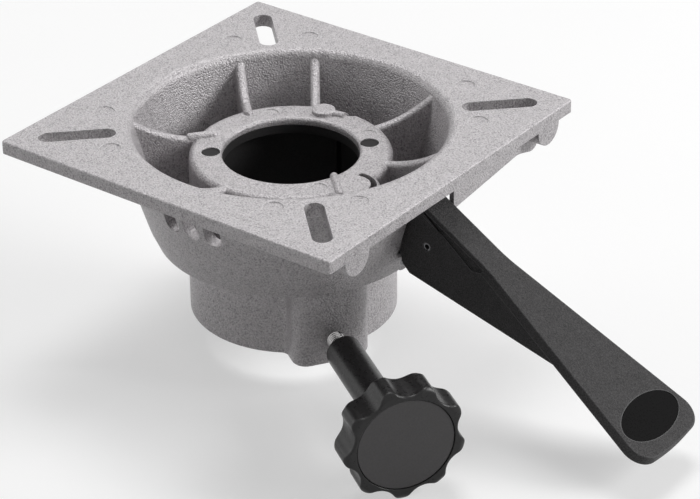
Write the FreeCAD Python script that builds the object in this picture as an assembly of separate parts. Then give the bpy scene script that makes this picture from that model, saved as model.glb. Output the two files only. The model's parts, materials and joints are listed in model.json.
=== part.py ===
import FreeCAD, Part
import math
import os

# Seat mount for a fixed boat post: a die-cast housing with a square seat plate on top,
# plastic bushings that fit over the post, a swivel lock worked by a lever, and a clamp knob.
# Millimetres. The origin is on the post's axis at the plate's top face, +Z is up,
# and the lock lever points along +X.

Vec = FreeCAD.Vector
UP = Vec(0, 0, 1)
OUT = Vec(1, 0, 0)
SIDE = Vec(0, 1, 0)

# Clearances between pieces
seat_gap = 0.05
running_gap = 0.05
loose_gap = 0.3

# Post that the mount fits on, 2 7/8 in tube, and its bushings
bushing_bore_radius = 36.6
housing_bore_radius = 41.0
bushing_radius = housing_bore_radius - 0.1
slit_width = 2.6

# How far a cutting solid runs past each side of the wall that it cuts
cut_reach = 5.0
slit_azimuth = 92.0

# Seat plate
plate_side = 178.0
plate_thickness = 6.0
plate_corner_radius = 1.5
plate_edge_round = 0.8
seat_slot_centre_radius = 93.0
seat_slot_length = 33.8
seat_slot_width = 8.6
seat_slot_depth = 26.0

# Bowl below the plate
mouth_radius = 69.9
mouth_round = 4.0
bowl_inner_foot_z = -44.0
bowl_corner_radius = 5.5
bowl_outer_top_radius = 76.0
bowl_outer_foot_radius = 64.0
bowl_outer_foot_z = -46.0
bowl_wall = 4.6
bowl_inner_foot_radius = bowl_outer_foot_radius - bowl_wall
bowl_top_blend = 3.4
floor_top_z = -49.6
floor_bottom_z = -54.6
foot_set_in = 3.7
foot_radius = bowl_outer_foot_radius - foot_set_in

# Hub ring round the post's top end
ring_radius = 45.0
ring_top_z = -14.8
ring_round = 3.0
lip_radius = 30.4
lip_thickness = 3.2
lip_round = 1.6
hub_foot_radius = 45.6
peg_circle_radius = 35.2
peg_hole_radius = 4.2
peg_azimuths = (47.0, 219.0)
peg_depth_below_face = 0.5

# Collar below the bowl
collar_radius = 46.8
collar_bottom_z = -91.0
collar_round = 1.0

# Bushings
thrust_washer_thickness = 4.0
thrust_washer_bore_radius = 30.0
upper_bushing_bottom_z = -52.0
bushing_spacing = 3.0
lower_bushing_bottom_z = -87.4
retaining_ring_thickness = 1.2
retaining_ring_depth = 1.4
retaining_ring_radial_width = 2.8
retaining_ring_gap_width = 9.0
ring_ear_radius = 2.2
ring_ear_hole_radius = 0.9
ring_ear_inset = 0.4
ring_ear_from_gap = 2.6
bushing_hole_gap = 0.4

# Ribs in the bowl: azimuth at the hub, azimuth at the wall, radius where the rib starts
rib_thickness = 4.4
rib_round = 1.9
rib_rise = (-15.0, -10.6, -0.8)
ribs = (
    (22.0, 16.0, 43.0),
    (67.5, 62.0, 43.0),
    (113.0, 119.0, 43.0),
    (155.0, 147.0, 40.5),
    (199.0, 213.0, 36.5),
    (267.0, 263.0, 43.0),
    (300.0, 302.0, 43.0),
    (334.0, 328.0, 43.0),
)

# Small cast features on the ring
bar_radius = 1.8
bar_inner_point = (30.3, -8.6)
bar_outer_point = (41.3, -19.1)
rib_pad_radius = 2.1
rib_pad_overlap = 4.0
pad_centre = (-10.3, 37.3)
pad_radius = 5.35
pad_height = 1.9
pad_edge_round = 0.6
nub_end = (-0.4, 39.6)
nub_radius = 1.8
notch_centre = (0.6, 43.4)
notch_radius = 2.6
notch_depth = 6.0
bulge_centre = (40.7, -9.4)
bulge_radius = 12.6
crescent_centre = (40.7, -9.5)
crescent_radius = 9.4
crescent_width = 2.7
crescent_depth = 11.0
crescent_from_azimuth = 12.0
crescent_to_azimuth = 100.0

# Shallow round marks that the die's ejector pins leave on the plate and the ring
pin_mark_depth = 0.35
plate_mark_radius = 4.6
plate_marks = (
    (-71.6, -41.4), (-46.3, -66.3), (-71.5, 48.0), (-45.6, 72.0),
    (42.5, 72.7), (67.1, 47.1), (42.7, -66.3), (68.0, -41.6),
)
ring_mark_radius = 3.6
ring_marks = ((-29.4, 22.9), (18.7, 32.3), (31.0, -20.2))

# Windows in the bowl wall under one plate edge
wall_window_azimuths = (-98.0, -89.0, -80.0)
wall_window_width = 8.0
wall_window_bottom_z = -28.0
wall_window_top_z = -7.4

# Bosses and stiffener under the plate
plate_boss_offset = 70.2
plate_boss_radius = 8.0
plate_boss_drop = 0.6
plate_boss_length = 20.0
stiffener_x = 80.0
stiffener_thickness = 3.0
stiffener_from_y = 8.6
stiffener_root_z = -22.0
stiffener_waist = (57.7, -16.5)
stiffener_heel = (70.5, -20.0)

# Window in the bowl wall for the lever's root
lever_window_half_width = 9.5
lever_window_top_z = -9.0
lever_window_bottom_z = -44.5
lever_window_corner = 3.5

# Clamp knob boss on the collar and the knob's axis
knob_azimuth = -33.6
knob_axis_z = -79.5
boss_face_radius = 57.5
boss_half_width = 18.0
boss_near_corner_radius = 6.5
boss_far_corner_radius = 11.0
boss_root_x = 30.0
boss_blend = 4.0
stud_radius = 3.97
stud_pitch = 1.411
clamp_turns = 2.0
pad_clear_of_bushing = 0.4
stud_end_radius = 50.0
stud_in_knob = 24.0
stem_start_radius = 67.5
stem_radius = 7.9
stem_blend = 5.0
head_start_radius = 129.3
head_length = 15.7
head_end_radius = head_start_radius + head_length
head_lobe_radius = 26.9
head_valley_radius = 23.0
head_lobes = 9
lobe_tip_radius = 4.2
valley_phase = 16.5
head_back_round = 5.0
head_front_round = 3.6
head_edge_round = 1.0
cap_radius = head_valley_radius - 1.7
cap_thickness = 2.4
cap_below_rim = 0.3
cap_edge_round = 0.5

# Swivel lock: pivot, fin that carries it, plunger and its guide
pivot_x = 78.1
pivot_z = -34.8
pin_radius = 1.9
pin_wall = 0.75
pin_slot_width = 0.5
fin_half_thickness = 3.1
fin_eye_radius = 5.6
lever_arm = 12.0
plunger_z = pivot_z - lever_arm
plunger_radius = 3.0
plunger_tip_x = 31.6
plunger_tip_round = 1.2
plunger_end_overhang = 3.2
cross_pin_radius = 1.25
cross_pin_half_length = 5.2
guide_boss_radius = 7.4
guide_boss_end_x = 61.6
guide_bore_end_x = 70.0
chamber_start_x = 46.0
chamber_radius = 4.9
plug_start_x = 57.6
clip_thickness = 0.8
clip_radius = 4.3
clip_groove_radius = 2.3
clip_start_x = 46.4
plunger_washer_thickness = 0.8
plunger_washer_radius = 4.6
spring_wire_radius = 0.4
spring_mean_radius = 4.0
spring_turns = 5

# Lock lever: a straight top face that slopes down from a point above the pivot
lever_slope = 31.0
lever_origin_x = 78.6
lever_origin_z = -16.0
lever_root_s = -3.0
lever_half_width = 7.2
lever_straight_s = 37.0
paddle_half_width = 24.0
paddle_wide_s = 130.0
lever_end_s = 143.7
lever_end_bow = 2.0
paddle_corner_radius = 10.0
lever_rim_depth = 4.8
lever_skin = 2.8
lever_rim_wall = 2.6
lever_top_round = 0.7
web_outer_y = 6.6
web_inner_y = 3.8
web_root_upper = (70.5, -18.0)
web_root_middle = (66.4, -27.2)
web_root_lower = (64.1, -40.5)
web_corner_mid = (65.3, -46.7)
web_corner_end = (69.1, -50.6)
web_lower_end = (176.0, -78.25)
groove_floor_y = 5.9
groove_top_depth = 2.2
groove_corners = ((35.5, 2.2), (34.8, 4.8), (31.3, 7.6), (-4.0, 2.6))
drive_slot_width = 3.0
drive_slot_above = 1.7
drive_slot_below = 3.2
inlay_centre_s = 127.4
inlay_half_across = 18.8
inlay_half_along = 9.5
inlay_pocket_depth = 1.2
inlay_below_face = 0.2
lever_washer_thickness = 0.5
lever_washer_radius = 4.4


def polar(radius, azimuth, z=0.0):
    angle = math.radians(azimuth)
    return Vec(radius * math.cos(angle), radius * math.sin(angle), z)


def line(a, b):
    return Part.LineSegment(a, b).toShape()


def arc(a, middle, b):
    return Part.Arc(a, middle, b).toShape()


def round_corner(before, corner, after, radius):
    # The two tangent points and the middle of the arc that rounds a corner of a profile.
    to_before = (before - corner).normalize()
    to_after = (after - corner).normalize()
    half = to_before.getAngle(to_after) / 2
    reach = radius / math.tan(half)
    bisector = (to_before + to_after).normalize()
    centre = corner + bisector * (radius / math.sin(half))
    return corner + to_before * reach, centre - bisector * radius, corner + to_after * reach


def rounded_profile(corners):
    # A closed wire through corners given as (point, radius), sharp where the radius is 0.
    count = len(corners)
    spans = []
    for i, (point, radius) in enumerate(corners):
        before = corners[i - 1][0]
        after = corners[(i + 1) % count][0]
        if radius:
            spans.append(round_corner(before, point, after, radius))
        else:
            spans.append((point, None, point))
    edges = []
    for i, (start, middle, end) in enumerate(spans):
        if middle is not None:
            edges.append(arc(start, middle, end))
        following = spans[(i + 1) % count][0]
        if (following - end).Length > 1e-6:
            edges.append(line(end, following))
    return Part.Wire(edges)


def revolved(corners, axis=UP):
    return Part.Face(rounded_profile(corners)).revolve(Vec(0, 0, 0), axis, 360)


def extruded(corners, direction):
    return Part.Face(rounded_profile(corners)).extrude(direction)


def tube(outer_radius, inner_radius, length, base, axis):
    outer = Part.makeCylinder(outer_radius, length, base, axis)
    overrun = axis * 1.0
    return outer.cut(Part.makeCylinder(inner_radius, length + 2, base - overrun, axis))


def rz(radius, z):
    return Vec(radius, 0, z)


def save(shape, name):
    shape = shape.removeSplitter()
    if len(shape.Solids) == 1:
        shape = shape.Solids[0]
    shape.exportStep("parts/" + name + ".step")
    print(name, len(shape.Solids), "solid", round(shape.Volume), "mm3", shape.isValid())


# Housing

def bowl_outer_radius(z):
    drop = (-plate_thickness - z) / (-plate_thickness - bowl_outer_foot_z)
    return bowl_outer_top_radius + (bowl_outer_foot_radius - bowl_outer_top_radius) * drop


def bowl_inner_radius(z):
    drop = z / bowl_inner_foot_z
    return mouth_radius + (bowl_inner_foot_radius - mouth_radius) * drop


def seat_plate():
    half = plate_side / 2
    corner = Vec(-half, -half, -plate_thickness)
    plate = Part.makeBox(plate_side, plate_side, plate_thickness, corner)
    upright = [e for e in plate.Edges if abs(e.tangentAt(e.FirstParameter).z) > 0.9]
    plate = plate.makeFillet(plate_corner_radius, upright)
    top = [e for e in plate.Edges if abs(e.CenterOfMass.z) < 1e-6]
    plate = plate.makeFillet(plate_edge_round, top)
    opening_base = Vec(0, 0, -plate_thickness - 1)
    return plate.cut(Part.makeCylinder(bowl_outer_top_radius - 1, plate_thickness + 2, opening_base))


def bowl_and_hub():
    inner_at_floor = bowl_inner_radius(floor_top_z)
    lip_bottom_z = ring_top_z - lip_thickness
    flange_radius = bowl_outer_top_radius + bowl_top_blend
    return revolved([
        (rz(housing_bore_radius, lip_bottom_z), 0),
        (rz(housing_bore_radius, collar_bottom_z), 0),
        (rz(collar_radius, collar_bottom_z), collar_round),
        (rz(collar_radius, floor_bottom_z), 2.0),
        (rz(foot_radius, floor_bottom_z), 1.6),
        (rz(bowl_outer_foot_radius, bowl_outer_foot_z), 9.0),
        (rz(bowl_outer_top_radius, -plate_thickness), bowl_top_blend),
        (rz(flange_radius + bowl_top_blend, -plate_thickness), 0),
        (rz(flange_radius + bowl_top_blend, -plate_thickness / 2), 0),
        (rz(flange_radius, 0), 0),
        (rz(mouth_radius, 0), mouth_round),
        (rz(inner_at_floor, floor_top_z), bowl_corner_radius),
        (rz(hub_foot_radius, floor_top_z), 2.5),
        (rz(ring_radius, ring_top_z), ring_round),
        (rz(lip_radius, ring_top_z), lip_round),
        (rz(lip_radius, lip_bottom_z), 0),
    ])


def rib(hub_azimuth, wall_azimuth, start_radius):
    # A web on the bowl floor, its top edge a shallow arc that climbs to the plate.
    hub_point = polar(ring_radius - 2, hub_azimuth)
    wall_point = polar(mouth_radius + 2.4, wall_azimuth)
    direction = (wall_point - hub_point).normalize()
    length = (wall_point - hub_point).Length
    lean = mouth_radius - bowl_inner_foot_radius
    start_top, middle_top, end_top = rib_rise
    foot_z = floor_top_z - 1
    corners = [
        Vec(0, 0, foot_z),
        Vec(0, 0, start_top),
        Vec(length, 0, end_top),
        Vec(length - lean, 0, foot_z),
    ]
    top = arc(corners[1], Vec(length / 2, 0, middle_top), corners[2])
    side = line(corners[0], corners[1])
    lean_side = line(corners[2], corners[3])
    foot = line(corners[3], corners[0])
    edges = [side, top, lean_side, foot]
    web = Part.Face(Part.Wire(edges)).extrude(SIDE * rib_thickness)
    crest = [e for e in web.Edges if e.Curve.TypeId == "Part::GeomCircle"]
    web = web.makeFillet(rib_round, crest)
    web.translate(Vec(0, -rib_thickness / 2, 0))
    heading = math.degrees(math.atan2(direction.y, direction.x))
    web.rotate(Vec(0, 0, 0), UP, heading)
    web.translate(hub_point)
    pieces = [web]
    if start_radius < ring_radius - 2:
        pad_start = hub_point - direction * (ring_radius - 2 - start_radius)
        pad_end = hub_point + direction * rib_pad_overlap
        pieces.append(rib_pad(pad_start, pad_end, rib_pad_radius))
    return pieces


def rib_pad(start, end, radius):
    # A half-round bar that lies on the ring, with round ends.
    start = Vec(start.x, start.y, ring_top_z)
    end = Vec(end.x, end.y, ring_top_z)
    bar = Part.makeCylinder(radius, (end - start).Length, start, (end - start).normalize())
    return bar.fuse([Part.makeSphere(radius, start), Part.makeSphere(radius, end)])


def ring_features():
    pad_foot = Vec(*pad_centre, ring_top_z - ring_round)
    pad = Part.makeCylinder(pad_radius, pad_height + ring_round, pad_foot)
    rim = [e for e in pad.Edges if e.CenterOfMass.z > ring_top_z + pad_height / 2]
    pad = pad.makeFillet(pad_edge_round, rim[:1])
    pad_point = Vec(*pad_centre, ring_top_z)
    nub_reach = Vec(*nub_end, ring_top_z) - pad_point
    nub = Part.makeCylinder(nub_radius, nub_reach.Length, pad_point, nub_reach)
    bulge_foot = Vec(*bulge_centre, floor_top_z - 1)
    bulge = Part.makeCylinder(bulge_radius, ring_top_z - bulge_foot.z, bulge_foot)
    crown = [e for e in bulge.Edges if abs(e.CenterOfMass.z - ring_top_z) < 1e-6]
    bulge = bulge.makeFillet(ring_round, crown[:1])
    bar = rib_pad(Vec(*bar_inner_point, 0), Vec(*bar_outer_point, 0), bar_radius)
    return [pad, nub, bulge, bar]


def plate_bosses():
    shapes = []
    half = plate_side / 2
    plate_boss_z = -plate_thickness - plate_boss_drop
    for side in (-1, 1):
        start = Vec(half - plate_boss_length, side * plate_boss_offset, plate_boss_z)
        boss = Part.makeCylinder(plate_boss_radius, plate_boss_length, start, OUT)
        boss = boss.fuse(Part.makeSphere(plate_boss_radius, start))
        reach = plate_boss_length + plate_boss_radius
        corner = Vec(half - reach - 1, start.y - plate_boss_radius - 1, -plate_thickness / 2)
        above = Part.makeBox(reach + 2, 2 * plate_boss_radius + 2, plate_boss_radius, corner)
        shapes.append(boss.cut(above))
    left = stiffener_x - stiffener_thickness / 2
    top_z = -plate_thickness + 1
    far_y = plate_boss_offset + plate_boss_radius - 0.5
    corners = [
        (Vec(left, stiffener_from_y, top_z), 0),
        (Vec(left, stiffener_from_y, stiffener_root_z), 1.5),
        (Vec(left, *stiffener_waist), 14.0),
        (Vec(left, *stiffener_heel), 5.0),
        (Vec(left, far_y, -plate_thickness - plate_boss_radius / 2), 1.5),
        (Vec(left, far_y, top_z), 0),
    ]
    shapes.append(extruded(corners, OUT * stiffener_thickness))
    return shapes


def is_block_corner(edge, side):
    upright = abs(edge.tangentAt(edge.FirstParameter).z) > 0.9
    centre = edge.CenterOfMass
    return upright and centre.x > boss_face_radius - 1 and centre.y * side > boss_half_width - 1


def collar_boss():
    # The boss that the clamp stud screws into, blended into the collar.
    height = floor_bottom_z - collar_bottom_z + 1
    base = Vec(0, 0, collar_bottom_z)
    collar = Part.makeCylinder(collar_radius, height, base)
    corner = Vec(boss_root_x, -boss_half_width, collar_bottom_z)
    block = Part.makeBox(boss_face_radius - boss_root_x, 2 * boss_half_width, height, corner)
    for side, radius in ((-1, boss_near_corner_radius), (1, boss_far_corner_radius)):
        upright = [e for e in block.Edges if is_block_corner(e, side)]
        block = block.makeFillet(radius, upright)
    body = collar.fuse(block)
    corner_x = math.sqrt(collar_radius ** 2 - boss_half_width ** 2)
    inner = [
        e for e in body.Edges
        if abs(e.CenterOfMass.x - corner_x) < 0.5 and abs(e.CenterOfMass.z - base.z - height / 2) < 0.5
        and abs(abs(e.CenterOfMass.y) - boss_half_width) < 0.5
    ]
    body = body.makeFillet(boss_blend, inner)
    bottom = [e for e in body.Edges if abs(e.CenterOfMass.z - collar_bottom_z) < 1e-6]
    body = body.makeChamfer(collar_round / 2, bottom)
    body = body.cut(Part.makeCylinder(housing_bore_radius, height + 2, base - UP))
    body.rotate(Vec(0, 0, 0), UP, knob_azimuth)
    return body


def lever_bracket():
    # The fin that carries the lever's pivot and the plunger's guide below it.
    hub_x = housing_bore_radius + 1
    tip_x = pivot_x + fin_eye_radius
    eye_top = pivot_z + fin_eye_radius
    foot_x = bowl_outer_foot_radius - 3
    corners = [
        (Vec(hub_x, -fin_half_thickness, eye_top), 0),
        (Vec(hub_x, -fin_half_thickness, floor_top_z - 1), 0),
        (Vec(foot_x, -fin_half_thickness, floor_top_z - 1), 0),
        (Vec(foot_x + 3.4, -fin_half_thickness, lever_window_bottom_z + 0.6), 1.5),
        (Vec(tip_x, -fin_half_thickness, pivot_z - fin_eye_radius), fin_eye_radius - 0.4),
        (Vec(tip_x, -fin_half_thickness, eye_top), fin_eye_radius - 0.4),
    ]
    fin = extruded(corners, SIDE * 2 * fin_half_thickness)
    guide_length = guide_boss_end_x - hub_x
    guide = Part.makeCylinder(guide_boss_radius, guide_length, Vec(hub_x, 0, plunger_z), OUT)
    return [fin, guide]


def lever_window():
    half = lever_window_half_width
    x = bowl_inner_radius(lever_window_bottom_z) - 3
    corners = [
        (Vec(x, -half, lever_window_top_z), 1.5),
        (Vec(x, -half, lever_window_bottom_z), lever_window_corner),
        (Vec(x, half, lever_window_bottom_z), lever_window_corner),
        (Vec(x, half, lever_window_top_z), 1.5),
    ]
    return extruded(corners, OUT * (bowl_outer_top_radius + 4 - x))


def wall_windows():
    shapes = []
    half = wall_window_width / 2
    start = bowl_inner_radius(wall_window_bottom_z) - 6
    reach = bowl_outer_top_radius + 6 - start
    for azimuth in wall_window_azimuths:
        corners = [
            (Vec(start, -half, wall_window_top_z), 0.8),
            (Vec(start, -half, wall_window_bottom_z), half - 0.1),
            (Vec(start, half, wall_window_bottom_z), half - 0.1),
            (Vec(start, half, wall_window_top_z), 0.8),
        ]
        window = extruded(corners, OUT * reach)
        window.rotate(Vec(0, 0, 0), UP, azimuth)
        shapes.append(window)
    return shapes


def seat_slots():
    shapes = []
    radius = seat_slot_width / 2
    reach = (seat_slot_length - seat_slot_width) / 2
    depth = seat_slot_depth
    for quarter in range(4):
        corner = Vec(seat_slot_centre_radius - reach, -radius, 1 - depth)
        slot = Part.makeBox(2 * reach, seat_slot_width, depth, corner)
        for end in (-reach, reach):
            base = Vec(seat_slot_centre_radius + end, 0, 1 - depth)
            slot = slot.fuse(Part.makeCylinder(radius, depth, base))
        slot.rotate(Vec(0, 0, 0), UP, 45 + 90 * quarter)
        shapes.append(slot)
    return shapes


def crescent_pocket():
    low = math.radians(crescent_from_azimuth)
    high = math.radians(crescent_to_azimuth)
    middle = (low + high) / 2
    centre = Vec(*crescent_centre, ring_top_z - crescent_depth)

    def at(radius, angle):
        return centre + Vec(radius * math.cos(angle), radius * math.sin(angle), 0)

    inner = crescent_radius - crescent_width / 2
    outer = crescent_radius + crescent_width / 2
    end_high = at(crescent_radius, high + crescent_width / 2 / crescent_radius)
    end_low = at(crescent_radius, low - crescent_width / 2 / crescent_radius)
    wire = Part.Wire([
        arc(at(outer, low), at(outer, middle), at(outer, high)),
        arc(at(outer, high), end_high, at(inner, high)),
        arc(at(inner, high), at(inner, middle), at(inner, low)),
        arc(at(inner, low), end_low, at(outer, low)),
    ])
    return Part.Face(wire).extrude(UP * (crescent_depth + pad_height))


def pin_marks():
    # Recesses in the plate's top face and the ring's top face.
    marks = [(point, plate_mark_radius, 0) for point in plate_marks]
    marks += [(point, ring_mark_radius, ring_top_z) for point in ring_marks]
    return [
        Part.makeCylinder(radius, pin_mark_depth + 0.5, Vec(*point, z - pin_mark_depth))
        for point, radius, z in marks
    ]


def housing_bores():
    cuts = []
    lip_bottom_z = ring_top_z - lip_thickness
    bore_depth = lip_bottom_z - collar_bottom_z + 1
    cuts.append(Part.makeCylinder(housing_bore_radius, bore_depth, Vec(0, 0, collar_bottom_z - 1)))
    cuts.append(Part.makeCylinder(lip_radius, -lip_bottom_z + 1, Vec(0, 0, lip_bottom_z - 0.5)))
    for azimuth in peg_azimuths:
        base = polar(peg_circle_radius, azimuth, lip_bottom_z - 1)
        cuts.append(Part.makeCylinder(peg_hole_radius, lip_thickness + 4, base))
    notch_base = Vec(*notch_centre, ring_top_z - notch_depth)
    cuts.append(Part.makeCylinder(notch_radius, 2 * notch_depth, notch_base))
    groove_top = lower_bushing_bottom_z
    groove_height = retaining_ring_thickness + 0.2
    cuts.append(Part.makeCylinder(housing_bore_radius + retaining_ring_depth, groove_height,
                                  Vec(0, 0, groove_top - groove_height)))
    return cuts


def lock_bores():
    guide_start = Vec(housing_bore_radius - 2, 0, plunger_z)
    guide_length = guide_bore_end_x - guide_start.x
    guide = Part.makeCylinder(plunger_radius + running_gap, guide_length, guide_start, OUT)
    chamber_start = Vec(chamber_start_x, 0, plunger_z)
    chamber_length = guide_bore_end_x - chamber_start_x
    chamber = Part.makeCylinder(chamber_radius, chamber_length, chamber_start, OUT)
    pivot_start = Vec(pivot_x, -fin_half_thickness - 2, pivot_z)
    pivot = Part.makeCylinder(pin_radius + running_gap, 2 * fin_half_thickness + 4, pivot_start, SIDE)
    return [guide, chamber, pivot]


def stud_bore():
    start = polar(housing_bore_radius - 3, knob_azimuth, knob_axis_z)
    length = boss_face_radius - housing_bore_radius + 6
    return Part.makeCylinder(stud_radius + running_gap, length, start, polar(1, knob_azimuth))


def seat_mount_casting():
    body = seat_plate().fuse(bowl_and_hub())
    body = body.fuse(plate_bosses())
    body = body.cut(Part.makeCompound(wall_windows()))
    body = body.cut(lever_window())
    body = body.fuse(collar_boss())
    for hub_azimuth, wall_azimuth, start_radius in ribs:
        body = body.fuse(rib(hub_azimuth, wall_azimuth, start_radius))
    body = body.fuse(ring_features())
    body = body.fuse(lever_bracket())
    cuts = [crescent_pocket(), stud_bore()]
    cuts += seat_slots() + housing_bores() + lock_bores() + pin_marks()
    for cut in cuts:
        body = body.cut(cut)
    return body


# Bushings in the housing

def thrust_washer():
    top_z = ring_top_z - lip_thickness
    washer = tube(bushing_radius, thrust_washer_bore_radius, thrust_washer_thickness,
                  Vec(0, 0, top_z - thrust_washer_thickness), UP)
    peg_height = lip_thickness - peg_depth_below_face
    for azimuth in peg_azimuths:
        base = polar(peg_circle_radius, azimuth, top_z - 1)
        washer = washer.fuse(Part.makeCylinder(peg_hole_radius - 0.1, peg_height + 1, base))
    return washer


def split_bushing(top_z, bottom_z):
    sleeve = tube(bushing_radius, bushing_bore_radius, top_z - bottom_z, Vec(0, 0, bottom_z), UP)
    slit_length = bushing_radius - bushing_bore_radius + 2 * cut_reach
    slit_corner = Vec(bushing_bore_radius - cut_reach, -slit_width / 2, bottom_z - 1)
    slit = Part.makeBox(slit_length, slit_width, top_z - bottom_z + 2, slit_corner)
    slit.rotate(Vec(0, 0, 0), UP, slit_azimuth)
    return sleeve.cut(slit)


def upper_bushing():
    top_z = ring_top_z - lip_thickness - thrust_washer_thickness
    sleeve = split_bushing(top_z, upper_bushing_bottom_z)
    hole_start = Vec(bushing_bore_radius - cut_reach, 0, plunger_z)
    hole_length = bushing_radius - bushing_bore_radius + 2 * cut_reach
    hole = Part.makeCylinder(plunger_radius + bushing_hole_gap, hole_length, hole_start, OUT)
    return sleeve.cut(hole)


def lower_bushing():
    return split_bushing(upper_bushing_bottom_z - bushing_spacing, lower_bushing_bottom_z)


def bushing_retaining_ring():
    outer = housing_bore_radius + retaining_ring_depth - 0.1
    bottom_z = lower_bushing_bottom_z - retaining_ring_thickness - 0.1
    inner = outer - retaining_ring_radial_width
    ring = tube(outer, inner, retaining_ring_thickness, Vec(0, 0, bottom_z), UP)
    gap_corner = Vec(inner - cut_reach, -retaining_ring_gap_width / 2, bottom_z - 1)
    gap_length = retaining_ring_radial_width + 2 * cut_reach
    gap = Part.makeBox(gap_length, retaining_ring_gap_width, retaining_ring_thickness + 2, gap_corner)
    gap.rotate(Vec(0, 0, 0), UP, slit_azimuth)
    ring = ring.cut(gap)
    angle = math.degrees((retaining_ring_gap_width / 2 + ring_ear_from_gap) / outer)
    for side in (-1, 1):
        ear_point = polar(inner + ring_ear_inset, slit_azimuth + side * angle, bottom_z)
        ring = ring.fuse(Part.makeCylinder(ring_ear_radius, retaining_ring_thickness, ear_point))
        ear_hole_depth = retaining_ring_thickness + 2
        ring = ring.cut(Part.makeCylinder(ring_ear_hole_radius, ear_hole_depth, ear_point - UP))
    return ring


# Lock lever and its parts

def lever_point(s, y=0.0, below=0.0):
    # A point of the lever: s down the sloping top face, y across, below the face.
    slope = math.radians(lever_slope)
    x = lever_origin_x + s * math.cos(slope) - below * math.sin(slope)
    z = lever_origin_z - s * math.sin(slope) - below * math.cos(slope)
    return Vec(x, y, z)


def lever_normal():
    slope = math.radians(lever_slope)
    return Vec(math.sin(slope), 0, math.cos(slope))


def paddle_outline(inset, below):
    # Half-widths along the top face, the end slightly bowed, all drawn inwards by the inset.
    narrow = lever_half_width - inset
    wide = paddle_half_width - inset
    end = lever_end_s - inset
    start = lever_root_s + inset
    corner = max(paddle_corner_radius - inset, 2)

    def side(sign):
        root = lever_point(start, sign * narrow, below)
        neck = lever_point(lever_straight_s, sign * narrow, below)
        shoulder = lever_point(end - lever_end_bow, sign * wide, below)
        return root, neck, shoulder

    left_root, left_neck, left_shoulder = side(-1)
    right_root, right_neck, right_shoulder = side(1)
    tip = lever_point(end, 0, below)
    return [
        (left_root, 0.0),
        (left_neck, 60.0),
        (left_shoulder, corner),
        (tip, 120.0),
        (right_shoulder, corner),
        (right_neck, 60.0),
        (right_root, 0.0),
    ]


def lever_web(inner_y, outer_y, sign):
    y = sign * inner_y
    under = lever_rim_depth / 2
    top_start = lever_point(lever_root_s + 2, y, under)
    top_end = lever_point(112.0, y, under)
    corners = [
        (Vec(web_root_upper[0], y, web_root_upper[1]), 2.0),
        (Vec(web_root_middle[0], y, web_root_middle[1]), 4.0),
        (Vec(web_root_lower[0], y, web_root_lower[1]), 0),
        (Vec(web_corner_mid[0], y, web_corner_mid[1]), 3.0),
        (Vec(web_corner_end[0], y, web_corner_end[1]), 0),
        (Vec(web_lower_end[0], y, web_lower_end[1]), 0),
        (top_end, 0),
        (top_start, 0),
    ]
    return extruded(corners, SIDE * sign * (outer_y - inner_y))


def inlay_shape(margin, below, thickness):
    centre = lever_point(inlay_centre_s, 0, below)
    ellipse = Part.Ellipse(centre, inlay_half_across - margin, inlay_half_along - margin)
    face = Part.Face(Part.Wire(ellipse.toShape()))
    # The ellipse is drawn flat with its long axis along X, then turned onto the sloping face.
    face.rotate(centre, UP, 90)
    face.rotate(centre, SIDE, lever_slope)
    return face.extrude(lever_normal() * thickness)


def lock_lever():
    down = lever_normal() * -1
    top = extruded(paddle_outline(0, 0), down * lever_rim_depth)
    crown = [e for e in top.Edges if on_top_face(e)]
    top = top.makeFillet(lever_top_round, crown)
    hollow = extruded(paddle_outline(lever_rim_wall, lever_skin), down * lever_rim_depth)
    body = top.cut(hollow)
    for sign in (-1, 1):
        body = body.fuse(lever_web(web_inner_y, web_outer_y, sign))
        body = body.cut(neck_groove(sign))
    body = body.cut(inlay_shape(0, inlay_pocket_depth, inlay_pocket_depth + 2))
    reach = web_outer_y + 1
    pin_start = Vec(pivot_x, -reach, pivot_z)
    body = body.cut(Part.makeCylinder(pin_radius, 2 * reach, pin_start, SIDE))
    return body.cut(drive_slots())


def neck_groove(sign):
    # A shallow band along the neck's side, under the top plate's edge.
    y = sign * groove_floor_y
    places = [(lever_root_s - 1, groove_top_depth), *groove_corners]
    corners = [(lever_point(s, y, below), 0) for s, below in places]
    return extruded(corners, SIDE * sign * 4)


def on_top_face(edge):
    for parameter in (edge.FirstParameter, edge.LastParameter):
        offset = edge.valueAt(parameter) - lever_point(0)
        if abs(offset.dot(lever_normal())) > 1e-4:
            return False
    return True


def drive_slots():
    # Blind upright slots in the webs' inner faces for the ends of the cross pin.
    width = cross_pin_half_length + 0.3
    half = drive_slot_width / 2
    corners = [
        (Vec(pivot_x - half, -width, plunger_z + drive_slot_above), half - 0.05),
        (Vec(pivot_x + half, -width, plunger_z + drive_slot_above), half - 0.05),
        (Vec(pivot_x + half, -width, plunger_z - drive_slot_below), half - 0.05),
        (Vec(pivot_x - half, -width, plunger_z - drive_slot_below), half - 0.05),
    ]
    return extruded(corners, SIDE * 2 * width)


def lever_inlay():
    return inlay_shape(0.1, inlay_pocket_depth, inlay_pocket_depth - inlay_below_face)


def lever_pivot_pin():
    half = web_outer_y - 0.3
    pin = tube(pin_radius, pin_radius - pin_wall, 2 * half, Vec(pivot_x, -half, pivot_z), SIDE)
    slot = Part.makeBox(pin_slot_width, 2 * half + 2, 2 * pin_radius,
                        Vec(pivot_x - pin_slot_width / 2, -half - 1, pivot_z - 2 * pin_radius))
    return pin.cut(slot)


def lever_washer(sign):
    middle = (fin_half_thickness + web_inner_y) / 2
    start_y = sign * middle - lever_washer_thickness / 2
    start = Vec(pivot_x, start_y, pivot_z)
    return tube(lever_washer_radius, pin_radius + seat_gap, lever_washer_thickness, start, SIDE)


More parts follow.
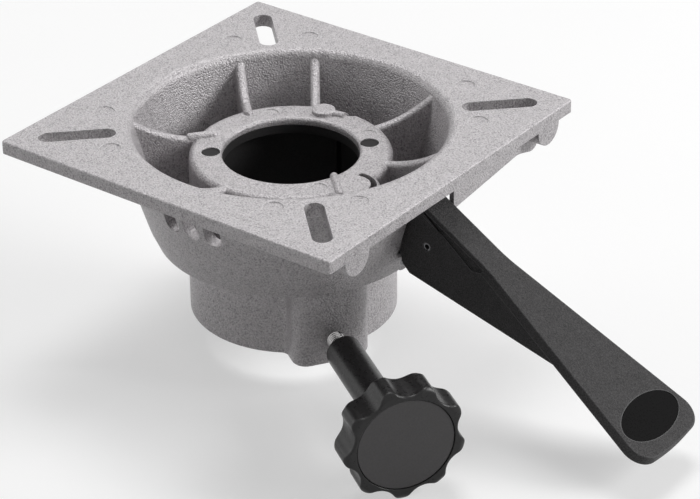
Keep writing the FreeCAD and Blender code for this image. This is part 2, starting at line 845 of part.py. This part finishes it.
def lock_plunger():
    end_x = pivot_x + plunger_end_overhang
    tip = Vec(plunger_tip_x, 0, plunger_z)
    rod = Part.makeCylinder(plunger_radius, end_x - plunger_tip_x, tip, OUT)
    ends = [e for e in rod.Edges if e.Curve.TypeId == "Part::GeomCircle"]
    rod = rod.makeChamfer(plunger_tip_round, ends)
    groove = Vec(clip_start_x, 0, plunger_z)
    rod = rod.cut(tube(plunger_radius + 1, clip_groove_radius, clip_thickness, groove, OUT))
    hole_start = Vec(pivot_x, -plunger_radius - 1, plunger_z)
    return rod.cut(Part.makeCylinder(cross_pin_radius, 2 * plunger_radius + 2, hole_start, SIDE))


def plunger_cross_pin():
    start = Vec(pivot_x, -cross_pin_half_length, plunger_z)
    pin = Part.makeCylinder(cross_pin_radius, 2 * cross_pin_half_length, start, SIDE)
    ends = [e for e in pin.Edges if e.Curve.TypeId == "Part::GeomCircle"]
    return pin.makeChamfer(0.3, ends)


def plunger_clip():
    start = Vec(clip_start_x, 0, plunger_z)
    clip = tube(clip_radius, clip_groove_radius, clip_thickness, start, OUT)
    mouth = Part.makeBox(clip_thickness + 2, 1.7 * clip_groove_radius, clip_radius + 1,
                         Vec(clip_start_x - 1, -0.85 * clip_groove_radius, plunger_z - clip_radius - 1))
    return clip.cut(mouth)


def plunger_washer():
    start = Vec(clip_start_x + clip_thickness, 0, plunger_z)
    return tube(plunger_washer_radius, plunger_radius + seat_gap, plunger_washer_thickness, start, OUT)


def spring_start_x():
    return clip_start_x + clip_thickness + plunger_washer_thickness + 0.05


def plunger_spring():
    # Wire wound about the plunger between the moving washer and the guide plug.
    start = spring_start_x() + spring_wire_radius
    end = plug_start_x - 0.05 - spring_wire_radius
    length = end - start
    helix = Part.makeHelix(length / spring_turns, length, spring_mean_radius)
    wire_circle = Part.makeCircle(spring_wire_radius, Vec(spring_mean_radius, 0, 0), SIDE)
    spring = Part.Wire(helix.Edges).makePipeShell([Part.Wire(wire_circle)], True, True)
    spring.rotate(Vec(0, 0, 0), SIDE, 90)
    spring.translate(Vec(start, 0, plunger_z))
    return spring


def plunger_guide_plug():
    start = Vec(plug_start_x, 0, plunger_z)
    length = guide_boss_end_x - plug_start_x
    return tube(chamber_radius, plunger_radius + running_gap, length, start, OUT)


# Clamp knob and its parts

def knob_placement(shape):
    # Turns a shape drawn along +Z from the post's axis onto the level knob axis.
    shape.rotate(Vec(0, 0, 0), SIDE, 90)
    shape.rotate(Vec(0, 0, 0), UP, knob_azimuth)
    shape.translate(Vec(0, 0, knob_axis_z))
    return shape


def valley_arc_radius():
    # The concave arcs that meet the lobes' round tips without a corner.
    tip_centre = head_lobe_radius - lobe_tip_radius
    swing = math.cos(math.pi / head_lobes)
    across = tip_centre ** 2 + head_valley_radius ** 2 - 2 * tip_centre * head_valley_radius * swing
    overlap = lobe_tip_radius - head_valley_radius + tip_centre * swing
    return (across - lobe_tip_radius ** 2) / 2 / overlap


def lobed_outline(z):
    valley_radius = valley_arc_radius()
    tip_centre = head_lobe_radius - lobe_tip_radius
    valley_centre = head_valley_radius + valley_radius
    share = lobe_tip_radius / (lobe_tip_radius + valley_radius)
    step = 360 / head_lobes

    def joint(lobe_azimuth, valley_azimuth):
        lobe = polar(tip_centre, lobe_azimuth, z)
        return lobe + (polar(valley_centre, valley_azimuth, z) - lobe) * share

    edges = []
    for lobe in range(head_lobes):
        valley = valley_phase + step * lobe
        tip = valley + step / 2
        before = joint(tip, valley)
        after = joint(tip, valley + step)
        edges.append(arc(before, polar(head_lobe_radius, tip, z), after))
        following = joint(tip + step, valley + step)
        edges.append(arc(after, polar(head_valley_radius, valley + step, z), following))
    return Part.Wire(edges)


def is_head_rim(edge):
    upright = abs(edge.tangentAt((edge.FirstParameter + edge.LastParameter) / 2).z) > 0.95
    centre = edge.CenterOfMass
    return not upright and math.hypot(centre.x, centre.y) > head_valley_radius / 2


def knob():
    pocket_z = head_end_radius - cap_thickness
    head = Part.Face(lobed_outline(head_start_radius)).extrude(UP * head_length)
    blank = revolved([
        (rz(0, head_start_radius), 0),
        (rz(head_lobe_radius + 0.5, head_start_radius), head_back_round),
        (rz(head_lobe_radius + 0.5, head_end_radius), head_front_round),
        (rz(0, head_end_radius), 0),
    ])
    head = head.common(blank)
    head = head.makeFillet(head_edge_round, [e for e in head.Edges if is_head_rim(e)])
    stem = revolved([
        (rz(0, stem_start_radius), 0),
        (rz(stem_radius, stem_start_radius), 1.0),
        (rz(stem_radius, head_start_radius), stem_blend),
        (rz(stem_radius + 2 * stem_blend, head_start_radius), 0),
        (rz(stem_radius + 2 * stem_blend, head_start_radius + 1), 0),
        (rz(0, head_start_radius + 1), 0),
    ])
    body = head.fuse(stem)
    body = body.cut(Part.makeCylinder(cap_radius + 0.15, cap_thickness + 1, Vec(0, 0, pocket_z)))
    body = body.cut(Part.makeCylinder(stud_radius, stud_in_knob, Vec(0, 0, stem_start_radius)))
    return knob_placement(body)


def knob_cap():
    height = cap_thickness - cap_below_rim
    cap = Part.makeCylinder(cap_radius, height, Vec(0, 0, head_end_radius - cap_thickness))
    rim = [e for e in cap.Edges if abs(e.CenterOfMass.z - head_end_radius + cap_below_rim) < 1e-6]
    return knob_placement(cap.makeFillet(cap_edge_round, rim[:1]))


def clamp_stud():
    length = stem_start_radius + stud_in_knob - stud_end_radius
    stud = Part.makeCylinder(stud_radius, length, Vec(0, 0, stud_end_radius))
    end = [e for e in stud.Edges if abs(e.CenterOfMass.z - stud_end_radius) < 1e-6]
    return knob_placement(stud.makeChamfer(0.5, end[:1]))


def friction_pad():
    start = bushing_radius + pad_clear_of_bushing + clamp_turns * stud_pitch
    pad = Part.makeCylinder(stud_radius - seat_gap, stud_end_radius - start, Vec(0, 0, start))
    end = [e for e in pad.Edges if abs(e.CenterOfMass.z - start) < 1e-6]
    return knob_placement(pad.makeChamfer(0.4, end[:1]))


def main():
    os.makedirs("parts", exist_ok=True)
    save(seat_mount_casting(), "seat_mount_casting")
    save(thrust_washer(), "thrust_washer")
    save(upper_bushing(), "upper_bushing")
    save(lower_bushing(), "lower_bushing")
    save(bushing_retaining_ring(), "bushing_retaining_ring")
    save(lock_lever(), "lock_lever")
    save(lever_inlay(), "lever_inlay")
    save(lever_pivot_pin(), "lever_pivot_pin")
    save(lever_washer(-1), "lever_washer_near")
    save(lever_washer(1), "lever_washer_far")
    save(lock_plunger(), "lock_plunger")
    save(plunger_cross_pin(), "plunger_cross_pin")
    save(plunger_spring(), "plunger_spring")
    save(plunger_clip(), "plunger_clip")
    save(plunger_washer(), "plunger_washer")
    save(plunger_guide_plug(), "plunger_guide_plug")
    save(knob(), "knob")
    save(knob_cap(), "knob_cap")
    save(clamp_stud(), "clamp_stud")
    save(friction_pad(), "friction_pad")


main()
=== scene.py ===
import json
import math

import bpy
from mathutils import Matrix, Vector


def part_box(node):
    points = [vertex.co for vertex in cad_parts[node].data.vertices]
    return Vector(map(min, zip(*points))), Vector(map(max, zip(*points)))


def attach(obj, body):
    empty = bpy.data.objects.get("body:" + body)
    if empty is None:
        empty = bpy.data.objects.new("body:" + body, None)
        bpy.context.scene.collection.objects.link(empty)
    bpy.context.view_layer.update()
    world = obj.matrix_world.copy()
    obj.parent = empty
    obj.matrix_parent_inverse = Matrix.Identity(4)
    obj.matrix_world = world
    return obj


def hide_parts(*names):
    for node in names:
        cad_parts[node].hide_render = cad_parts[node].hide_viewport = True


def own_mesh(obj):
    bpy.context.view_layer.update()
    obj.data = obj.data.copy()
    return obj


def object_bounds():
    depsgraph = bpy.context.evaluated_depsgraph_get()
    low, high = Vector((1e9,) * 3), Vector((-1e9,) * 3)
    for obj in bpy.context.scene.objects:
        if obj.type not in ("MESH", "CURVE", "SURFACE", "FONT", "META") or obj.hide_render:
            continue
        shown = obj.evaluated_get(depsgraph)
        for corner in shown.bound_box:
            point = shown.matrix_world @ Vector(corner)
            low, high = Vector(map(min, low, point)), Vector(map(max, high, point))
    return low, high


# Finish, lights and camera for the boat seat mount. Lengths are in metres.

MM = 0.001

# Camera, fitted to the plate's corners, the bore's circles and the knob's axis in the photograph.
# Angles are in degrees, lens and sensor in millimetres.
CAMERA_PLACE = Vector((0.6651, -0.8358, 0.5467))
CAMERA_HEADING = 37.139
CAMERA_PITCH = -29.832
CAMERA_ROLL = -0.571
CAMERA_LENS = 141.08
CAMERA_SENSOR = 36.0
CAMERA_NEAR_CLIP = 0.01

# Clamp stud's thread. The root and the inner end are shares of the outer radius, the root's flat
# and the flank are shares of half a pitch.
STUD_PITCH = 1.411 * MM
STUD_ROOT_SHARE = 0.79
STUD_END_SHARE = 0.75
THREAD_ROOT_FLAT = 0.12
THREAD_FLANK = 0.70
THREAD_ROUND_STEPS = 32
THREAD_STEPS_PER_TURN = 10

# Plunger's coil spring
SPRING_WIRE_RADIUS = 0.4 * MM
SPRING_MEAN_RADIUS = 4.0 * MM
SPRING_TURNS = 5
SPRING_STEPS_PER_TURN = 28
SPRING_ROUND_STEPS = 10
SPRING_SEAT_GAP = 0.05 * MM

# Pale floor, and the glow by which it is seen as white
FLOOR_SIZE = 6.0
FLOOR_DROP = 0.5 * MM
FLOOR_GLOW = 0.5

# Light that the world gives the object, and the white that is seen in its place
WORLD_LEVEL = 0.07
WORLD_SEEN_LEVEL = 1.0
WHITE = (1, 1, 1, 1)

# Softboxes: name, place, aim, width, and power in watts
SOFTBOXES = (
    ("key_from_right", (1.60, 0.98, 0.80), (0, 0, -0.03), 0.8, 29),
    ("top_light", (-0.45, 0.65, 1.9), (0, 0, -0.03), 0.9, 24),
    ("left_fill", (-1.55, -0.8, 0.45), (0, 0, -0.06), 0.7, 5.5),
)

# Grain of the finishes, as features per metre
CAST_GRAIN = 1450.0
CAST_PEBBLES = CAST_GRAIN * 0.9
CAST_MOTTLE = 240.0
PLASTIC_GRAIN = 1500.0
PHENOLIC_GRAIN = 700.0
NYLON_CLOUD = 400.0
FLOOR_CLOUD = 3.0

# Cosine of a face with its rounded edge where the painted edge highlight is full, and where it ends
EDGE_FULL_COSINE = 0.90
EDGE_END_COSINE = 0.998
BEVEL_SAMPLES = 4

# Tones of the painted highlights on edges, and how far tones stray from the stated ones
CAST_EDGE_HIGHLIGHT = (0.72, 0.71, 0.716)
MOULDED_EDGE_HIGHLIGHT = (0.17, 0.17, 0.173)
MOULDED_HIGHLIGHT_RADIUS = 0.9 * MM
MOULDED_TINT = (1.04, 1.0, 1.02)
METAL_LOW_SHARE = 0.75
METAL_HIGH_SHARE = 1.15


def new_material(name):
    material = bpy.data.materials.new(name)
    material.use_nodes = True
    tree = material.node_tree
    shader = tree.nodes["Principled BSDF"]
    return material, tree, shader


def add(tree, kind, **values):
    node = tree.nodes.new(kind)
    for key, value in values.items():
        setattr(node, key, value)
    return node


def object_coordinates(tree):
    return add(tree, "ShaderNodeTexCoord").outputs["Object"]


def noise(tree, scale, detail, roughness):
    node = add(tree, "ShaderNodeTexNoise")
    node.inputs["Scale"].default_value = scale
    node.inputs["Detail"].default_value = detail
    node.inputs["Roughness"].default_value = roughness
    tree.links.new(object_coordinates(tree), node.inputs["Vector"])
    return node.outputs["Fac"]


def cells(tree, scale, smoothness):
    node = add(tree, "ShaderNodeTexVoronoi", feature="SMOOTH_F1")
    node.inputs["Scale"].default_value = scale
    node.inputs["Smoothness"].default_value = smoothness
    tree.links.new(object_coordinates(tree), node.inputs["Vector"])
    return node.outputs["Distance"]


def spread(tree, value, low, high, from_low=0.0, from_high=1.0):
    # Maps the stretch from from_low to from_high onto the one from low to high.
    node = add(tree, "ShaderNodeMapRange")
    node.inputs["From Min"].default_value = from_low
    node.inputs["From Max"].default_value = from_high
    node.inputs["To Min"].default_value = low
    node.inputs["To Max"].default_value = high
    tree.links.new(value, node.inputs["Value"])
    return node.outputs["Result"]


def ramp(tree, value, stops):
    node = add(tree, "ShaderNodeValToRGB")
    elements = node.color_ramp.elements
    while len(elements) < len(stops):
        elements.new(0.5)
    for element, (place, colour) in zip(elements, stops):
        element.position = place
        element.color = (*colour, 1.0)
    tree.links.new(value, node.inputs["Fac"])
    return node.outputs["Color"]


def blend(tree, base, extra, share):
    # The base plus that share of the extra.
    scaled = add(tree, "ShaderNodeMath", operation="MULTIPLY")
    scaled.inputs[1].default_value = share
    tree.links.new(extra, scaled.inputs[0])
    total = add(tree, "ShaderNodeMath", operation="ADD")
    tree.links.new(base, total.inputs[0])
    tree.links.new(scaled.outputs[0], total.inputs[1])
    return total.outputs[0]


def larger(tree, first, second):
    node = add(tree, "ShaderNodeMath", operation="MAXIMUM")
    tree.links.new(first, node.inputs[0])
    tree.links.new(second, node.inputs[1])
    return node.outputs[0]


def rounded_normal(tree, radius):
    # The normal as it would be with every edge rounded to that radius.
    node = add(tree, "ShaderNodeBevel", samples=BEVEL_SAMPLES)
    node.inputs["Radius"].default_value = radius
    return node.outputs["Normal"]


def bump(tree, height, strength, distance, edge_radius=0.0):
    node = add(tree, "ShaderNodeBump")
    node.inputs["Strength"].default_value = strength
    node.inputs["Distance"].default_value = distance
    tree.links.new(height, node.inputs["Height"])
    if edge_radius:
        tree.links.new(rounded_normal(tree, edge_radius), node.inputs["Normal"])
    return node.outputs["Normal"]


def paint_edge_highlight(tree, colour, highlight_colour, radius, most):
    # Mixes the colour towards highlight_colour where an edge is near: a painted highlight along
    # rounded edges, standing in for the light they catch.
    rounded = rounded_normal(tree, radius)
    geometry = add(tree, "ShaderNodeNewGeometry")
    alike = add(tree, "ShaderNodeVectorMath", operation="DOT_PRODUCT")
    tree.links.new(rounded, alike.inputs[0])
    tree.links.new(geometry.outputs["True Normal"], alike.inputs[1])
    mix = add(tree, "ShaderNodeMix", data_type="RGBA")
    share = spread(tree, alike.outputs["Value"], most, 0.0, EDGE_FULL_COSINE, EDGE_END_COSINE)
    tree.links.new(share, mix.inputs["Factor"])
    tree.links.new(colour, mix.inputs["A"])
    mix.inputs["B"].default_value = (*highlight_colour, 1.0)
    return mix.outputs["Result"]


def seen_rays(tree):
    # 1 for what the camera sees, straight or in a mirror-like surface or through a clear one.
    path = add(tree, "ShaderNodeLightPath")
    seen = larger(tree, path.outputs["Is Camera Ray"], path.outputs["Is Transmission Ray"])
    return larger(tree, seen, path.outputs["Is Glossy Ray"])


def cast_grey():
    # Silver-grey hammered paint over a die casting: fine pebbled grain, with a painted highlight on
    # edges.
    material, tree, shader = new_material("cast_grey_paint")
    grain = noise(tree, CAST_GRAIN, detail=2.0, roughness=0.5)
    pebbles = cells(tree, CAST_PEBBLES, smoothness=0.6)
    mottle = noise(tree, CAST_MOTTLE, detail=4.0, roughness=0.6)
    tone = blend(tree, blend(tree, grain, mottle, share=0.4), pebbles, share=-0.5)
    colour = ramp(tree, tone, [
        (0.20, (0.262, 0.247, 0.257)),
        (0.45, (0.444, 0.424, 0.434)),
        (0.80, (0.608, 0.586, 0.596)),
    ])
    # Painted highlight: the colour is paler near every rounded edge, where light would catch it.
    highlighted = paint_edge_highlight(tree, colour, CAST_EDGE_HIGHLIGHT, radius=0.5 * MM, most=0.7)
    tree.links.new(highlighted, shader.inputs["Base Color"])
    rough = spread(tree, mottle, low=0.36, high=0.50, from_low=0.3, from_high=0.7)
    tree.links.new(rough, shader.inputs["Roughness"])
    shader.inputs["Metallic"].default_value = 0.28
    height = blend(tree, grain, pebbles, share=-0.8)
    relief = bump(tree, height, strength=0.65, distance=0.45 * MM, edge_radius=0.5 * MM)
    tree.links.new(relief, shader.inputs["Normal"])
    return material


def moulded_black(name, tones, roughness, shine, grain, strength, depth, edge=0.4 * MM, edge_highlight=0.0):
    # Black moulded plastic with a spark-eroded grain, and with a painted highlight on edges where
    # edge_highlight is set.
    material, tree, shader = new_material(name)
    shader.inputs["Specular IOR Level"].default_value = shine
    fine = noise(tree, grain, detail=3.0, roughness=0.6)
    broad = noise(tree, grain / 9, detail=3.0, roughness=0.5)
    speckle = blend(tree, fine, broad, share=0.15)
    low, high = (tuple(tone * share for share in MOULDED_TINT) for tone in tones)
    colour = ramp(tree, speckle, [(0.42, low), (0.76, high)])
    # Painted highlight: the colour is paler near rounded edges.
    if edge_highlight:
        colour = paint_edge_highlight(tree, colour, MOULDED_EDGE_HIGHLIGHT, MOULDED_HIGHLIGHT_RADIUS, edge_highlight)
    tree.links.new(colour, shader.inputs["Base Color"])
    rough = spread(tree, speckle, *roughness, from_low=0.4, from_high=0.8)
    tree.links.new(rough, shader.inputs["Roughness"])
    tree.links.new(bump(tree, fine, strength, depth, edge), shader.inputs["Normal"])
    return material


def turned_metal(name, colour, roughness, scale):
    # Plated or plain steel, finely mottled all over.
    material, tree, shader = new_material(name)
    marks = noise(tree, scale, detail=5.0, roughness=0.7)
    low = tuple(METAL_LOW_SHARE * part for part in colour)
    high = tuple(METAL_HIGH_SHARE * part for part in colour)
    tree.links.new(ramp(tree, marks, [(0.3, low), (0.7, high)]), shader.inputs["Base Color"])
    rough = spread(tree, marks, *roughness, from_low=0.3, from_high=0.7)
    tree.links.new(rough, shader.inputs["Roughness"])
    shader.inputs["Metallic"].default_value = 1.0
    relief = bump(tree, marks, strength=0.15, distance=0.05 * MM, edge_radius=0.1 * MM)
    tree.links.new(relief, shader.inputs["Normal"])
    return material


def natural_nylon():
    # Cloudy off-white plastic with hardly any relief.
    material, tree, shader = new_material("natural_nylon")
    cloud = noise(tree, NYLON_CLOUD, detail=3.0, roughness=0.5)
    colour = ramp(tree, cloud, [(0.3, (0.50, 0.49, 0.45)), (0.7, (0.60, 0.59, 0.55))])
    tree.links.new(colour, shader.inputs["Base Color"])
    tree.links.new(spread(tree, cloud, low=0.4, high=0.55), shader.inputs["Roughness"])
    tree.links.new(bump(tree, cloud, strength=0.1, distance=0.05 * MM), shader.inputs["Normal"])
    return material


def dress(nodes, names, material):
    for name in names:
        for slot in nodes[name].material_slots:
            slot.link = "OBJECT"
            slot.material = material


def dress_nodes(nodes):
    dress(nodes, ["seat_mount_casting"], cast_grey())
    dress(nodes, ["thrust_washer", "upper_bushing", "lower_bushing", "friction_pad"],
          moulded_black("acetal_black", tones=(0.024, 0.034), roughness=(0.45, 0.6), shine=0.08,
                        grain=PLASTIC_GRAIN, strength=0.1, depth=0.05 * MM))
    # The lever's edges get a painted highlight.
    dress(nodes, ["lock_lever"],
          moulded_black("lever_black", tones=(0.008, 0.066), roughness=(0.42, 0.6), shine=0.22,
                        grain=PLASTIC_GRAIN, strength=1.0, depth=0.3 * MM, edge_highlight=0.8))
    dress(nodes, ["lever_inlay"],
          moulded_black("inlay_black", tones=(0.006, 0.008), roughness=(0.26, 0.32), shine=0.05,
                        grain=PLASTIC_GRAIN, strength=0.04, depth=0.03 * MM, edge=0.1 * MM))
    dress(nodes, ["knob"],
          moulded_black("knob_black", tones=(0.012, 0.018), roughness=(0.26, 0.38), shine=0.3,
                        grain=PHENOLIC_GRAIN, strength=0.07, depth=0.05 * MM, edge=0.7 * MM))
    dress(nodes, ["knob_cap"],
          moulded_black("cap_black", tones=(0.064, 0.077), roughness=(0.42, 0.5), shine=0.3,
                        grain=PLASTIC_GRAIN, strength=0.12, depth=0.04 * MM, edge=0.2 * MM))
    dress(nodes, ["lock_plunger", "plunger_cross_pin", "plunger_washer"],
          turned_metal("plated_steel", (0.60, 0.60, 0.61), roughness=(0.22, 0.38), scale=1800.0))
    dress(nodes, ["lever_pivot_pin", "plunger_clip", "plunger_guide_plug", "bushing_retaining_ring"],
          turned_metal("dark_spring_steel", (0.16, 0.16, 0.165), roughness=(0.30, 0.48), scale=1500.0))
    dress(nodes, ["lever_washer_near", "lever_washer_far"], natural_nylon())


def joint(key, value):
    return next(row for row in frame["joints"] if row[key] == value)


def tube(name, rings):
    # A closed body through rings of as many points each, with a flat face at either end.
    count = len(rings[0])
    faces = []
    for i in range(len(rings) - 1):
        low = i * count
        high = low + count
        for j in range(count):
            k = (j + 1) % count
            faces.append((low + j, low + k, high + k, high + j))
    last = (len(rings) - 1) * count
    faces.append(tuple(range(count - 1, -1, -1)))
    faces.append(tuple(last + j for j in range(count)))
    mesh = bpy.data.meshes.new(name)
    mesh.from_pydata([point for ring in rings for point in ring], [], faces)
    mesh.shade_smooth()
    body = bpy.data.objects.new(name, mesh)
    bpy.context.scene.collection.objects.link(body)
    return body


def thread_share(phase):
    # Symmetric thread section as a share of the outer radius: flat root, straight flanks, crest.
    height = 1.0 - abs(2.0 * (phase % 1.0) - 1.0)
    lift = min(max((height - THREAD_ROOT_FLAT) / THREAD_FLANK, 0.0), 1.0)
    return STUD_ROOT_SHARE + (1.0 - STUD_ROOT_SHARE) * lift


def threaded_stud(start, end, heading, level, outer_radius):
    # The stud from its inner end to its end in the knob, with a rolled right-hand thread.
    axis = Vector((math.cos(heading), math.sin(heading), 0))
    side = Vector((-math.sin(heading), math.cos(heading), 0))
    up = Vector((0, 0, 1))
    steps = int((end - start) / STUD_PITCH * THREAD_STEPS_PER_TURN)
    rings = []
    for i in range(steps + 1):
        along = start + (end - start) * i / steps
        turns = (along - start) / STUD_PITCH
        taper = min(1.0, turns + STUD_END_SHARE)
        ring = []
        for j in range(THREAD_ROUND_STEPS):
            angle = 2 * math.pi * j / THREAD_ROUND_STEPS
            radius = outer_radius * thread_share(turns - j / THREAD_ROUND_STEPS) * taper
            offset = side * (radius * math.cos(angle)) + up * (radius * math.sin(angle) + level)
            ring.append(axis * along + offset)
        rings.append(ring)
    return tube("threaded_stud", rings)


def coil_spring(start, end, level):
    # A wire of round section wound about a line along X, from start to end.
    first = start + SPRING_WIRE_RADIUS
    run = end - start - 2 * SPRING_WIRE_RADIUS
    steps = SPRING_TURNS * SPRING_STEPS_PER_TURN
    rings = []
    for i in range(steps + 1):
        turn = 2 * math.pi * i / SPRING_STEPS_PER_TURN
        outward = Vector((0, math.cos(turn), math.sin(turn)))
        centre = Vector((first + run * i / steps, 0, level)) + outward * SPRING_MEAN_RADIUS
        ring = []
        for j in range(SPRING_ROUND_STEPS):
            angle = 2 * math.pi * j / SPRING_ROUND_STEPS
            rim = outward * math.cos(angle) + Vector((math.sin(angle), 0, 0))
            ring.append(centre + rim * SPRING_WIRE_RADIUS)
        rings.append(ring)
    return tube("coil_spring", rings)


def dress_stud():
    # The stud lies aslant to X, so its box reaches past its axis by the rim at each end.
    low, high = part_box("clamp_stud")
    level = (low.z + high.z) / 2
    outer_radius = (high.z - low.z) / 2
    axis = Vector(joint("child", "clamp_knob")["axis"])
    heading = math.atan2(axis.y, axis.x)
    rim = outer_radius * abs(math.sin(heading))
    start = (low.x + rim) / math.cos(heading)
    end = (high.x - rim) / math.cos(heading)
    stud = threaded_stud(start, end, heading, level, outer_radius)
    finish = turned_metal("bright_zinc", (0.42, 0.41, 0.41), roughness=(0.14, 0.26), scale=2200.0)
    stud.data.materials.append(finish)
    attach(stud, "clamp_knob")
    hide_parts("clamp_stud")


def dress_spring():
    # The spring lies between the plunger's washer and the plug, and the washer closes it up.
    washer_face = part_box("plunger_washer")[1].x
    plug_low, plug_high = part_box("plunger_guide_plug")
    level = (plug_low.z + plug_high.z) / 2
    start = washer_face + SPRING_SEAT_GAP
    end = plug_low.x - SPRING_SEAT_GAP
    spring = coil_spring(start, end, level)
    finish = turned_metal("spring_steel", (0.30, 0.30, 0.31), roughness=(0.3, 0.45), scale=1500.0)
    spring.data.materials.append(finish)
    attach(spring, "plunger")
    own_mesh(spring)
    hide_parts("plunger_spring")


def pale_floor(height):
    bpy.ops.mesh.primitive_plane_add(size=FLOOR_SIZE, location=(0, 0, height))
    floor = bpy.context.object
    floor.name = "floor"
    material, tree, shader = new_material("pale_floor")
    cloud = noise(tree, FLOOR_CLOUD, detail=2.0, roughness=0.5)
    colour = ramp(tree, cloud, [(0.3, (0.49, 0.49, 0.49)), (0.7, (0.51, 0.51, 0.51))])
    tree.links.new(colour, shader.inputs["Base Color"])
    shader.inputs["Roughness"].default_value = 0.9
    shader.inputs["Specular IOR Level"].default_value = 0.2
    glow = spread(tree, seen_rays(tree), low=0.0, high=FLOOR_GLOW)
    shader.inputs["Emission Color"].default_value = WHITE
    tree.links.new(glow, shader.inputs["Emission Strength"])
    floor.data.materials.append(material)


def studio_world():
    world = bpy.data.worlds.new("studio")
    bpy.context.scene.world = world
    world.use_nodes = True
    tree = world.node_tree
    background = tree.nodes["Background"]
    background.inputs["Color"].default_value = WHITE
    strength = spread(tree, seen_rays(tree), low=WORLD_LEVEL, high=WORLD_SEEN_LEVEL)
    tree.links.new(strength, background.inputs["Strength"])


def softbox(name, place, aim, width, power):
    data = bpy.data.lights.new(name, "AREA")
    data.shape = "RECTANGLE"
    data.size = width
    data.size_y = width
    data.energy = power
    lamp = bpy.data.objects.new(name, data)
    lamp.location = place
    lamp.rotation_euler = (Vector(aim) - Vector(place)).to_track_quat("-Z", "Y").to_euler()
    bpy.context.scene.collection.objects.link(lamp)


def rotation(degrees, axis):
    return Matrix.Rotation(math.radians(degrees), 4, axis)


def photo_camera():
    data = bpy.data.cameras.new("photo_camera")
    data.lens = CAMERA_LENS
    data.sensor_width = CAMERA_SENSOR
    data.clip_start = CAMERA_NEAR_CLIP
    camera = bpy.data.objects.new("photo_camera", data)
    heading = rotation(CAMERA_HEADING, "Z")
    pitch = rotation(90 + CAMERA_PITCH, "X")
    roll = rotation(CAMERA_ROLL, "Z")
    camera.matrix_world = Matrix.Translation(CAMERA_PLACE) @ heading @ pitch @ roll
    bpy.context.scene.collection.objects.link(camera)
    bpy.context.scene.camera = camera


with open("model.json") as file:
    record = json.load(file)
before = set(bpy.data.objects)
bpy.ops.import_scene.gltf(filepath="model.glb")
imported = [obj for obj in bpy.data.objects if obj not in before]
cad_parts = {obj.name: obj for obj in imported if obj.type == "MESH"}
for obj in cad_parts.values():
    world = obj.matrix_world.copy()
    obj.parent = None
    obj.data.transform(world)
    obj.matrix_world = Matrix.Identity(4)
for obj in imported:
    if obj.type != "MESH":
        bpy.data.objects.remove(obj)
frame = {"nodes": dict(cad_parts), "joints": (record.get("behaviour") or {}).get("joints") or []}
cad_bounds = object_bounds()
dress_nodes(frame["nodes"])
dress_stud()
dress_spring()
pale_floor(cad_bounds[0][2] - FLOOR_DROP)
studio_world()
for row in SOFTBOXES:
    softbox(*row)
photo_camera()
bpy.context.scene.view_settings.view_transform = "Standard"
